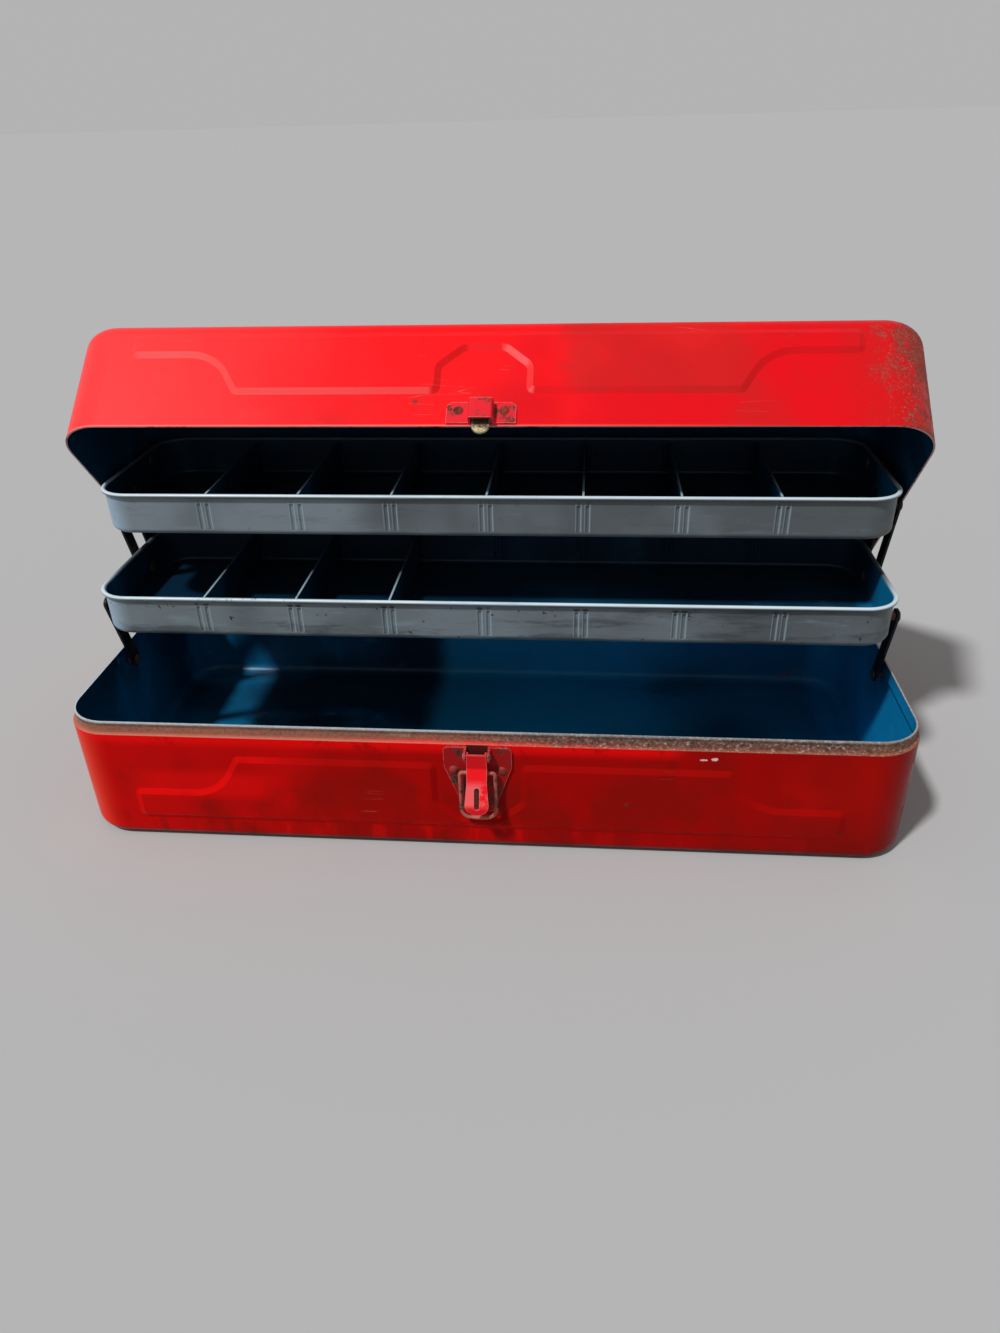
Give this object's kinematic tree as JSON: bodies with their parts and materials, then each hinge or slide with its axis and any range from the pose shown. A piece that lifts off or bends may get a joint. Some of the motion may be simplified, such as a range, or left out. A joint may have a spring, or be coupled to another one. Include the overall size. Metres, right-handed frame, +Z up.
{
  "type": "cantilever tool box",
  "caption": "Pressed steel tool box with a hinged lid, cantilever trays on parallel arms with divider plates, a lever latch with a wire bail and a folding carrying handle.",
  "frame": {"origin": "centre of the base's flat underside", "axes": "+X to the right along the box, -Y out of the front where the latch is, +Z up"},
  "size_m": [0.4074, 0.2221, 0.2269],
  "materials": {
    "red_paint_base": "worn gloss red enamel, blue inside",
    "red_paint_lid": "worn gloss red enamel, blue inside",
    "grey_paint": "worn grey enamel outside, blue inside",
    "blue_paint": "satin blue enamel",
    "black_steel": "satin black, worn at the edges",
    "zinc_steel": "dull zinc plate with rust",
    "brass": "tarnished"
  },
  "bodies": {
    "base": {"base_shell": "red_paint_base", "latch_plate": "red_paint_base", "latch_plate_rivets": "red_paint_base", "latch_pin": "zinc_steel", "base_pivot_rivets": "red_paint_base", "hinge_base_leaf_left": "zinc_steel", "hinge_base_leaf_right": "zinc_steel", "hinge_base_rivets": "zinc_steel", "hinge_pin_left": "zinc_steel", "hinge_pin_right": "zinc_steel"},
    "lid": {"lid_shell": "red_paint_lid", "lid_catch": "red_paint_lid", "catch_tongue": "brass", "catch_rivets": "red_paint_lid", "hinge_lid_leaf_left": "zinc_steel", "hinge_lid_leaf_right": "zinc_steel", "hinge_lid_rivets": "zinc_steel", "handle_saddle_left": "zinc_steel", "handle_saddle_right": "zinc_steel", "handle_rivets": "zinc_steel", "lid_pivot_rivets": "red_paint_lid"},
    "handle": {"carrying_handle": "zinc_steel"},
    "front_arms": {"front_arm_left": "black_steel", "front_arm_right": "black_steel"},
    "long_arms": {"long_arm_left": "black_steel", "long_arm_right": "black_steel"},
    "rear_arms": {"rear_arm_left": "black_steel", "rear_arm_right": "black_steel"},
    "lower_tray_body": {"lower_tray": "grey_paint", "lower_tray_pivot_rivets": "black_steel", "lower_divider_1": "blue_paint", "lower_divider_2": "blue_paint", "lower_divider_3": "blue_paint"},
    "upper_tray_body": {"upper_tray": "grey_paint", "upper_tray_pivot_rivets": "black_steel", "upper_divider_1": "blue_paint", "upper_divider_2": "blue_paint", "upper_divider_3": "blue_paint", "upper_divider_4": "blue_paint", "upper_divider_5": "blue_paint", "upper_divider_6": "blue_paint", "upper_divider_7": "blue_paint"},
    "lid_links": {"lid_link_left": "black_steel", "lid_link_right": "black_steel"},
    "lever": {"latch_lever": "red_paint_base", "latch_bail_bush": "zinc_steel"},
    "bail": {"latch_bail": "zinc_steel"}
  },
  "joints": [
    {"name": "lid_hinge", "type": "hinge", "parent": "base", "child": "lid", "pos_m": [0, 0.08575, 0.06175], "axis": [1, 0, 0], "range_deg": [0, 50.5]},
    {"name": "front_arm_pivot", "type": "hinge", "parent": "base", "child": "front_arms", "pos_m": [0, -0.0043, 0.0576], "axis": [1, 0, 0], "range_deg": [0, 39.5]},
    {"name": "long_arm_pivot", "type": "hinge", "parent": "base", "child": "long_arms", "pos_m": [0, 0.0422, 0.0576], "axis": [1, 0, 0], "range_deg": [0, 39.5]},
    {"name": "rear_arm_pivot", "type": "hinge", "parent": "base", "child": "rear_arms", "pos_m": [0, 0.0582, 0.0576], "axis": [1, 0, 0], "range_deg": [0, 39.5]},
    {"name": "lower_tray_pivot", "type": "hinge", "parent": "long_arms", "child": "lower_tray_body", "pos_m": [0, 0.02904, 0.09811], "axis": [1, 0, 0], "range_deg": [-39.5, 0]},
    {"name": "upper_tray_pivot", "type": "hinge", "parent": "long_arms", "child": "upper_tray_body", "pos_m": [0, 0.01457, 0.14262], "axis": [1, 0, 0], "range_deg": [-39.5, 0]},
    {"name": "lid_link_pivot", "type": "hinge", "parent": "lid", "child": "lid_links", "pos_m": [0, 0.07921, 0.09264], "axis": [1, 0, 0], "range_deg": [-19.5, 0]},
    {"name": "latch_lever_pivot", "type": "hinge", "parent": "base", "child": "lever", "pos_m": [0, -0.0862, 0.0571], "axis": [-1, 0, 0], "range_deg": [0, 70]},
    {"name": "latch_bail_pivot", "type": "hinge", "parent": "lever", "child": "bail", "pos_m": [0, -0.0864, 0.0481], "axis": [-1, 0, 0], "range_deg": [0, 120]},
    {"name": "handle_pivot", "type": "hinge", "parent": "lid", "child": "handle", "pos_m": [0, 0.08024, 0.16834], "axis": [1, 0, 0], "range_deg": [0, 180]}
  ],
  "couplings": [
    {"joint": "front_arm_pivot", "follows": "lid_hinge", "ratio": 0.78218},
    {"joint": "long_arm_pivot", "follows": "lid_hinge", "ratio": 0.78218},
    {"joint": "rear_arm_pivot", "follows": "lid_hinge", "ratio": 0.78218},
    {"joint": "lower_tray_pivot", "follows": "lid_hinge", "ratio": -0.78218},
    {"joint": "upper_tray_pivot", "follows": "lid_hinge", "ratio": -0.78218},
    {"joint": "lid_link_pivot", "follows": "lid_hinge", "ratio": -0.385}
  ]
}
